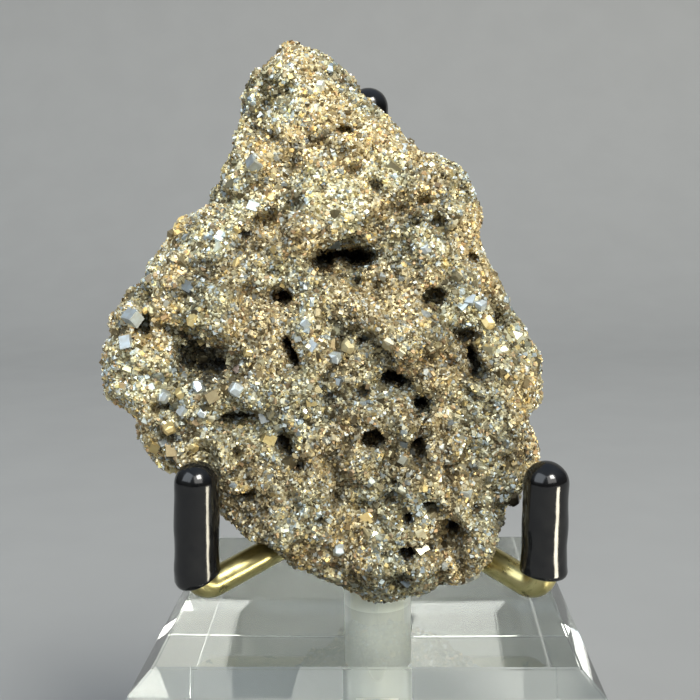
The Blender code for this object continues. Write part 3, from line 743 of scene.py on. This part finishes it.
def patch_colours(points):
    """Colour multiplier of the surface in broad patches, from greyish to brown."""
    brown = np.array([noise.noise(Vector(p) * PATCHES) for p in points])
    brown = smooth_step(*PATCH_EDGE, brown)[:, None]
    return np.array(GREYISH) * (1 - brown) + np.array(BROWNISH) * brown


def keep_off_stand(mesh):
    """Draw the growth in along its normals where it comes too near to the rods and caps."""
    points = read_points(mesh)
    normals = read_normals(mesh)
    short = np.maximum(STAND_CLEARANCE - distance_to_stand(points), 0.0)
    write_points(mesh, points - normals * short[:, None])


def make_growth(surface):
    """The cluster's solid, with its hollows, lumps and cracks grown into it, and painted shade in its
    colour.
    """
    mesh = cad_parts["pyrite_cluster"].data.copy()
    mesh.materials.clear()
    growth = link_object("pyrite_growth", mesh, surface)
    remesh(growth, FIRST_VOXEL)
    soften = growth.modifiers.new("soften", 'SMOOTH')
    soften.factor = SOFTEN_SHARE
    soften.iterations = SOFTEN_ROUNDS
    apply_modifiers(growth)
    sink_hollows(growth.data)
    grow_lumps(growth.data)
    remesh(growth, LAST_VOXEL)
    mesh = growth.data
    keep_off_stand(mesh)
    points = read_points(mesh)
    # painted shade from the cracks, the hollows and the lower middle, multiplied into the patch colours
    shade = painted_shade_of(points, read_normals(mesh))[:, None]
    paint_points(mesh, np.hstack([patch_colours(points) * shade, np.ones_like(shade)]))
    return growth


# ---- crystals --------------------------------------------------------------------------
def hull_form(points):
    """Corners and flat faces of the convex form around some points."""
    bm = bmesh.new()
    made = bmesh.ops.convex_hull(bm, input=[bm.verts.new(p) for p in points])
    edges = [e for e in made["geom"] if isinstance(e, bmesh.types.BMEdge)]
    bmesh.ops.dissolve_limit(bm, angle_limit=0.02, verts=bm.verts[:], edges=edges)
    bmesh.ops.recalc_face_normals(bm, faces=bm.faces[:])
    corners = np.array([tuple(v.co) for v in bm.verts])
    bm.verts.index_update()
    faces = [[v.index for v in face.verts] for face in bm.faces]
    bm.free()
    return corners, faces


def crystal_forms():
    """The four forms, each about 1 across."""
    signs = (-1, 1)
    cube = [(x, y, z) for x in signs for y in signs for z in signs]
    octahedron = [(1.4, 0, 0), (-1.4, 0, 0), (0, 1.4, 0), (0, -1.4, 0), (0, 0, 1.4), (0, 0, -1.4)]
    chamfered = []
    pyritohedron = [(0.8 * x, 0.8 * y, 0.8 * z) for x, y, z in cube]
    for a in signs:
        for b in signs:
            for x, y, z in ((0, a, b), (a, 0, b), (a, b, 0)):
                chamfered.append((x * 1.05, y * 1.05, z * 1.05))
            pyritohedron += [(0, a * 0.44, b * 1.08), (a * 0.44, b * 1.08, 0), (b * 1.08, 0, a * 0.44)]
    shapes = {"cube": cube, "octahedron": octahedron, "chamfered": chamfered,
              "pyritohedron": pyritohedron}
    return {name: hull_form([Vector(p) * 0.5 for p in points]) for name, points in shapes.items()}


def random_turns(chance, count):
    """Rotation matrices spread evenly over all directions."""
    q = chance.normal(size=(count, 4))
    q /= np.linalg.norm(q, axis=1)[:, None]
    w, x, y, z = q.T
    rows = [1 - 2 * (y * y + z * z), 2 * (x * y - z * w), 2 * (x * z + y * w),
            2 * (x * y + z * w), 1 - 2 * (x * x + z * z), 2 * (y * z - x * w),
            2 * (x * z - y * w), 2 * (y * z + x * w), 1 - 2 * (x * x + y * y)]
    return np.stack(rows, axis=1).reshape(-1, 3, 3)


def turns_to_light(chance, count, form, light):
    """Turns that put a face of the form where it mirrors a light towards the viewer."""
    corners, sides = form
    a, b, c = (corners[i] for i in sides[0][:3])
    face = Vector(np.cross(b - a, c - b)).normalized()
    middle = Vector(FRONT_MIDDLE)
    to_light = (Vector(LIGHTS[light][0]) - middle).normalized()
    to_viewer = (Vector(CAMERA_PLACE) - middle).normalized()
    turns = []
    for _ in range(count):
        aim = (to_light + to_viewer).normalized() + Vector(chance.normal(size=3)) * TURN_JITTER
        spin = Matrix.Rotation(chance.uniform(0, math.tau), 3, face)
        turns.append(np.array(face.rotation_difference(aim.normalized()).to_matrix() @ spin))
    return np.array(turns).reshape(-1, 3, 3)


def surface_samples(mesh, chance, count):
    """Points spread evenly over a mesh, with the face normal at each.

    The triangles are sorted by place first, so that every run draws the same points.
    """
    mesh.calc_loop_triangles()
    corners = np.empty(len(mesh.loop_triangles) * 3, dtype=np.int64)
    mesh.loop_triangles.foreach_get("vertices", corners)
    triangles = read_points(mesh)[corners.reshape(-1, 3)]
    triangles = triangles[np.lexsort(triangles.mean(axis=1).round(3).T)]
    cross = np.cross(triangles[:, 1] - triangles[:, 0], triangles[:, 2] - triangles[:, 0])
    areas = np.linalg.norm(cross, axis=1)
    picks = chance.choice(len(triangles), size=count, p=areas / areas.sum())
    a, b = chance.random((2, count))
    flip = a + b > 1
    a[flip], b[flip] = 1 - a[flip], 1 - b[flip]
    chosen = triangles[picks]
    points = (chosen[:, 0] + (chosen[:, 1] - chosen[:, 0]) * a[:, None]
              + (chosen[:, 2] - chosen[:, 0]) * b[:, None])
    return points, cross[picks] / areas[picks][:, None]


class Grains:
    """Crystals waiting to be joined into meshes."""

    def __init__(self, forms):
        self.forms = forms
        self.batches = []
        self.large = []

    def add(self, form, places, sizes, turns, tints):
        self.batches.append((form, places, sizes, turns, tints))

    def remember(self, places, radii):
        """Later grains keep out of these larger crystals."""
        self.large += list(zip(places.tolist(), radii.tolist()))

    def outside_large(self, places):
        tree = KDTree(len(self.large))
        for number, (middle, _radius) in enumerate(self.large):
            tree.insert(middle, number)
        tree.balance()
        nearest = [tree.find(place) for place in places.tolist()]
        return np.array([away > self.large[number][1] for _middle, number, away in nearest])

    def build(self, name, surface):
        """Join the crystals into as many pieces as the triangle limit asks for."""
        pieces = []
        points, faces, tints, used, held = [], [], [], 0, 0
        for form, places, sizes, turns, colours in self.batches:
            corners, sides = self.forms[form]
            cost = sum(len(side) - 2 for side in sides)
            start = 0
            while start < len(places):
                room = (PIECE_TRIANGLES - held) // cost
                if room == 0:
                    pieces.append(self.join(f"{name}_{len(pieces) + 1}", points, faces, tints, surface))
                    points, faces, tints, used, held = [], [], [], 0, 0
                    continue
                end = min(start + room, len(places))
                grown = corners[None, :, :] * sizes[start:end, None, :]
                placed = np.einsum("nij,nvj->nvi", turns[start:end], grown) + places[start:end, None, :]
                points.append(placed.reshape(-1, 3))
                tints.append(np.repeat(colours[start:end], len(corners), axis=0))
                for k in range(end - start):
                    offset = used + k * len(corners)
                    faces += [[offset + i for i in side] for side in sides]
                used += (end - start) * len(corners)
                held += (end - start) * cost
                start = end
        if held:
            pieces.append(self.join(f"{name}_{len(pieces) + 1}", points, faces, tints, surface))
        return pieces

    def join(self, name, points, faces, tints, surface):
        mesh = bpy.data.meshes.new(name)
        mesh.from_pydata((np.concatenate(points) * MM).tolist(), [], faces)
        paint_points(mesh, np.concatenate(tints))
        mesh.update()
        return link_object(name, mesh, surface)


def draw_tints(chance, points, normals, gloss):
    """A colour for each crystal, with painted shade from where it sits, and its share of the roughness
    range as the fourth number.
    """
    count = len(points)
    colours = np.array([colour for colour, _share in TINTS.values()])
    shares = np.array([share for _colour, share in TINTS.values()])
    picks = chance.choice(len(colours), size=count, p=shares / shares.sum())
    drawn = colours[picks] * chance.uniform(*BRIGHTNESS, size=(count, 1)) * patch_colours(points)
    # the crystals get the same painted shade as the growth under them
    drawn *= painted_shade_of(points, normals)[:, None]
    return np.clip(np.hstack([drawn, 1.0 - gloss * chance.random((count, 1))]), 0.0, 1.0)


def crowding(points):
    """Share of the larger crystals that grows at each point of the growth."""
    share = np.full(len(points), OUTSIDE_FIELDS)
    for x, z, radius in FIELDS:
        away = np.hypot(points[:, 0] - x, points[:, 2] - z) / radius
        share = np.maximum(share, smooth_step(*FIELD_EDGE, away))
    return np.where(points[:, 1] > BACK_FROM, BACK_SHARE, share)


def alone(places, spacing):
    """True for one crystal in each cube of space, so that few of them grow into one another."""
    cubes = np.floor(places / spacing).astype(int)
    first = np.unique(cubes, axis=0, return_index=True)[1]
    picked = np.zeros(len(places), dtype=bool)
    picked[first] = True
    return picked


def scatter(grains, mesh, chance, kind):
    """Strew one kind of crystals over the growth and turn a share of them to mirror the cool fill."""
    count, sizes, mix, sink, lit = STREWN[kind]
    fine = kind == "fine"
    points, normals = surface_samples(mesh, chance, count)
    grown = sizes[0] + (sizes[1] - sizes[0]) * chance.random(count) ** SIZE_SKEW
    places = points - normals * (grown * sink)[:, None]
    clear = grains.outside_large(places)
    if not fine:
        clear &= chance.random(count) < crowding(points)
        clear &= alone(places, sizes[1])
    kinds = chance.choice(list(mix), size=count, p=list(mix.values()))
    turns = random_turns(chance, count)
    tints = draw_tints(chance, points, normals, FINE_GLOSS if fine else GLOSS)
    spans = grown[:, None] * chance.uniform(*(FINE_STRETCH if fine else STRETCH), size=(count, 3))
    clear &= distance_to_stand(places) > spans.max(axis=1) * CUBE_REACH + CRYSTAL_CLEARANCE
    mirrors = chance.random(count) < lit
    for form in mix:
        chosen = clear & (kinds == form)
        turned = chosen & mirrors
        turns[turned] = turns_to_light(chance, int(turned.sum()), grains.forms[form], "sky_fill")
        tints[turned] = tints[turned] * (*LIT_TONE, LIT_ROUGHNESS[0]) + (0.0, 0.0, 0.0, LIT_ROUGHNESS[1])
        grains.add(form, places[chosen], spans[chosen], turns[chosen], tints[chosen])
    if kind == "medium":
        grains.remember(places[clear], MEDIUM_ROOM * grown[clear])


def plant_named(grains, tree, chance):
    """Set the larger crystals one by one where the photo shows them on the front."""
    colours = {name: colour for name, (colour, _share) in TINTS.items()}
    colours["pink"] = PINK
    for x, z, size, form, colour in NAMED_CRYSTALS:
        start = Vector((x, BEFORE_FRONT, z)) * MM
        point, normal, _face, _distance = tree.ray_cast(start, Vector((0, 1, 0)))
        place = np.array(point / MM - normal * size * NAMED_SINK)[None, :]
        tint = np.array([[*(part * NAMED_TONE for part in colours[colour]), NAMED_ROUGHNESS]])
        light = "sky_fill" if colour == "steel" else "key"
        turn = turns_to_light(chance, 1, grains.forms[form], light)
        grains.add(form, place, size * np.array([NAMED_STRETCH]), turn, tint)
        grains.remember(place, np.array([size * NAMED_ROOM]))


def make_crystals(growth, surface):
    chance = np.random.default_rng(SEED)
    grains = Grains(crystal_forms())
    mesh = growth.data
    tree = BVHTree.FromPolygons([v.co for v in mesh.vertices], [p.vertices for p in mesh.polygons])
    plant_named(grains, tree, chance)
    for kind in STREWN:
        scatter(grains, mesh, chance, kind)
    return grains.build("pyrite_crystals", surface)


# ---- surroundings ----------------------------------------------------------------------
def make_camera():
    yaw, pitch, roll = (math.radians(a) for a in (CAMERA_YAW, CAMERA_PITCH, CAMERA_ROLL))
    ahead = Vector((-math.sin(yaw) * math.cos(pitch), math.cos(yaw) * math.cos(pitch), -math.sin(pitch)))
    level = Vector((math.cos(yaw), math.sin(yaw), 0.0))
    upright = level.cross(ahead)
    right = level * math.cos(roll) + upright * math.sin(roll)
    up = upright * math.cos(roll) - level * math.sin(roll)
    lens = bpy.data.cameras.new("camera")
    lens.sensor_width = CAMERA_SENSOR
    lens.lens = CAMERA_LENS
    lens.clip_start = CAMERA_NEAREST * MM
    camera = bpy.data.objects.new("camera", lens)
    turned = Matrix((right, up, -ahead)).transposed().to_4x4()
    camera.matrix_world = Matrix.Translation(Vector(CAMERA_PLACE) * MM) @ turned
    bpy.context.scene.collection.objects.link(camera)
    bpy.context.scene.camera = camera


def make_stage():
    """A pale floor that curves up into a backdrop behind the part."""
    bm = bmesh.new()
    outline = [(STAGE_FRONT, -STAGE_DROP), (STAGE_CURVE_FROM, -STAGE_DROP)]
    for i in range(1, STAGE_CURVE_STEPS + 1):
        angle = 0.5 * math.pi * i / STAGE_CURVE_STEPS
        outline.append((STAGE_CURVE_FROM + STAGE_CURVE_RADIUS * math.sin(angle),
                        -STAGE_DROP + STAGE_CURVE_RADIUS * (1 - math.cos(angle))))
    outline.append((STAGE_CURVE_FROM + STAGE_CURVE_RADIUS, STAGE_TOP))
    left = [bm.verts.new((-STAGE_HALF_WIDTH, y, z)) for y, z in outline]
    right = [bm.verts.new((STAGE_HALF_WIDTH, y, z)) for y, z in outline]
    for i in range(len(outline) - 1):
        bm.faces.new((left[i], right[i], right[i + 1], left[i + 1]))
    floor = finish_bmesh("floor", bm, plain_surface("pale_floor", STAGE_COLOUR))
    floor.data.shade_smooth()


def area_light(name, place, size, power, spread, colour):
    lamp = bpy.data.lights.new(name, 'AREA')
    lamp.shape = 'RECTANGLE'
    lamp.size = size[0] * MM
    lamp.size_y = size[1] * MM
    lamp.energy = power
    lamp.spread = math.radians(spread)
    lamp.color = colour
    light = bpy.data.objects.new(name, lamp)
    light.visible_camera = False
    light.location = Vector(place) * MM
    aim = Vector(LIGHTS_AIM) * MM - light.location
    light.rotation_euler = aim.to_track_quat('-Z', 'Y').to_euler()
    bpy.context.scene.collection.objects.link(light)


def make_light():
    """A dim room with a bright ceiling, and the lamps."""
    bpy.context.scene.view_settings.view_transform = 'Standard'
    world = bpy.data.worlds.new("room")
    bpy.context.scene.world = world
    world.use_nodes = True
    tree = world.node_tree
    place = tree.nodes.new('ShaderNodeTexCoord')
    axes = tree.nodes.new('ShaderNodeSeparateXYZ')
    height = tree.nodes.new('ShaderNodeMapRange')
    height.inputs["From Min"].default_value = -1.0
    ramp = tree.nodes.new('ShaderNodeValToRGB')
    fill_ramp(ramp.color_ramp, ROOM_STOPS)
    background = tree.nodes["Background"]
    background.inputs["Strength"].default_value = ROOM_STRENGTH
    tree.links.new(place.outputs["Generated"], axes.inputs[0])
    tree.links.new(axes.outputs["Z"], height.inputs["Value"])
    tree.links.new(height.outputs["Result"], ramp.inputs["Fac"])
    tree.links.new(ramp.outputs["Color"], background.inputs["Color"])
    for name, settings in LIGHTS.items():
        area_light(name, *settings)


# ---- the whole scene -------------------------------------------------------------------
def place_piece(thing, slot, *nodes):
    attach(thing, "root")
    if nodes:
        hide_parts(*nodes)


def main():
    make_camera()
    make_stage()
    make_light()
    block = make_block(*(acrylic_surface(name) for name in ACRYLIC))
    place_piece(block, "acrylic", "acrylic_base")
    brass = brass_surface()
    vinyl = vinyl_surface()
    for name in ARMS:
        place_piece(make_rod(name, brass), "brass", f"{name}_arm")
        place_piece(make_cap(name, vinyl), "black_vinyl", f"{name}_cap")
    growth = make_growth(growth_surface())
    place_piece(growth, "pyrite", "pyrite_cluster")
    for piece in make_crystals(growth, crystal_surface()):
        place_piece(piece, "pyrite")


main()
